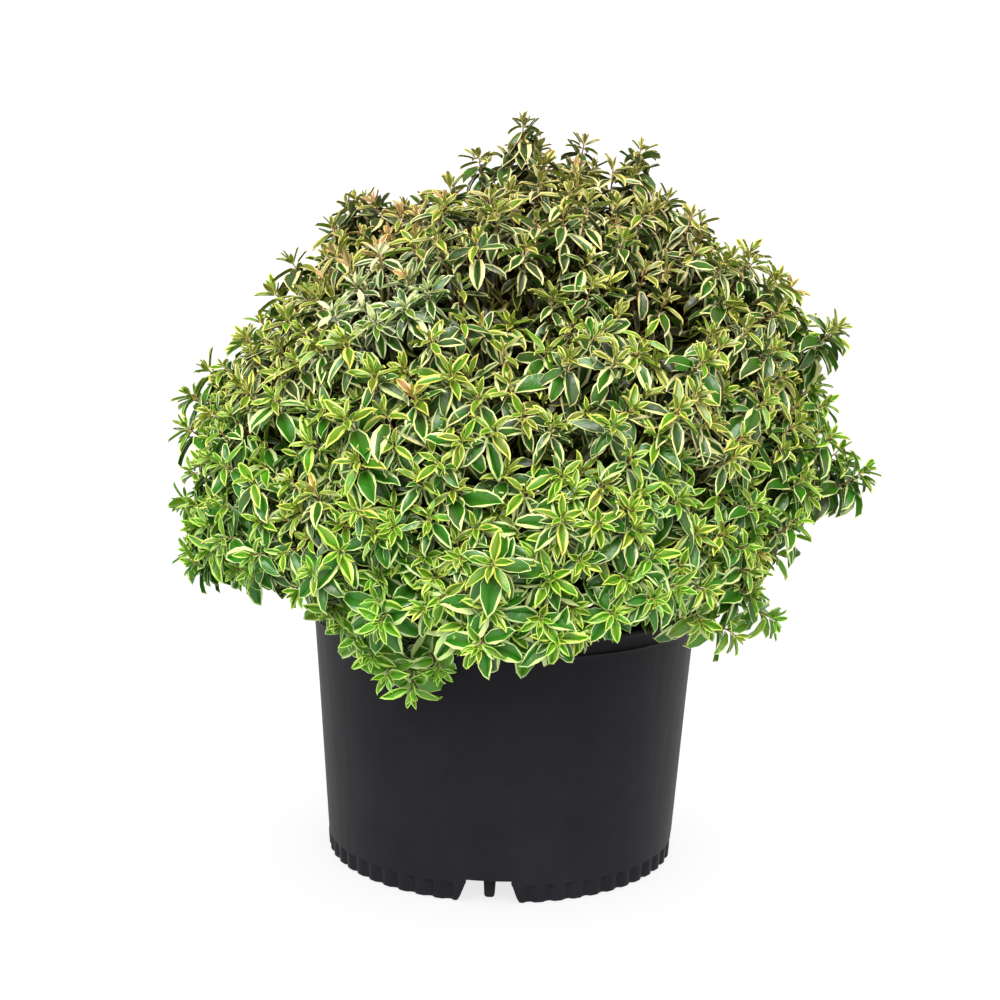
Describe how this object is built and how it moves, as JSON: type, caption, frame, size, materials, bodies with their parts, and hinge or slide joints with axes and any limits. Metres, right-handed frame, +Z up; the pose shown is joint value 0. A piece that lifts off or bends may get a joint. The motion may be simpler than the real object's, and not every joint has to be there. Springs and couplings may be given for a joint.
{
  "type": "potted abelia",
  "caption": "Rounded evergreen abelia with small cream-edged leaves, growing in a squat black nursery pot with a fluted, notched foot.",
  "frame": {"origin": "on the pot's axis where its foot stands on the ground, which is also the middle of the whole plant's outline seen from above", "axes": "+Z up along the pot's axis, -Y towards the side that the picture shows, +X to that viewer's right"},
  "size_m": [0.5067, 0.5013, 0.5248],
  "materials": {
    "foliage": "thin leathery leaves, satin, green with cream to yellow margins",
    "bark": "thin reddish-brown bark on young shoots, matt and flaking on the stem",
    "potting_mix": "moist composted bark, matt and loose",
    "pot_plastic": "moulded black polyolefin, satin"
  },
  "bodies": {
    "root": {"bough_low_1": "bark", "bough_low_2": "bark", "bough_low_3": "bark", "bough_low_4": "bark", "bough_low_5": "bark", "bough_low_6": "bark", "bough_low_7": "bark", "bough_low_8": "bark", "bough_low_9": "bark", "bough_middle_1": "bark", "bough_middle_2": "bark", "bough_middle_3": "bark", "bough_middle_4": "bark", "bough_middle_5": "bark", "bough_middle_6": "bark", "bough_middle_7": "bark", "bough_top": "bark", "bough_upper_1": "bark", "bough_upper_2": "bark", "bough_upper_3": "bark", "bough_upper_4": "bark", "bough_upper_5": "bark", "foliage_low_1": "foliage", "foliage_low_2": "foliage", "foliage_low_3": "foliage", "foliage_low_4": "foliage", "foliage_low_5": "foliage", "foliage_low_6": "foliage", "foliage_low_7": "foliage", "foliage_low_8": "foliage", "foliage_low_9": "foliage", "foliage_middle_1": "foliage", "foliage_middle_2": "foliage", "foliage_middle_3": "foliage", "foliage_middle_4": "foliage", "foliage_middle_5": "foliage", "foliage_middle_6": "foliage", "foliage_middle_7": "foliage", "foliage_top": "foliage", "foliage_upper_1": "foliage", "foliage_upper_2": "foliage", "foliage_upper_3": "foliage", "foliage_upper_4": "foliage", "foliage_upper_5": "foliage", "pot": "pot_plastic", "potting_mix": "potting_mix", "stem": "bark"}
  },
  "joints": []
}
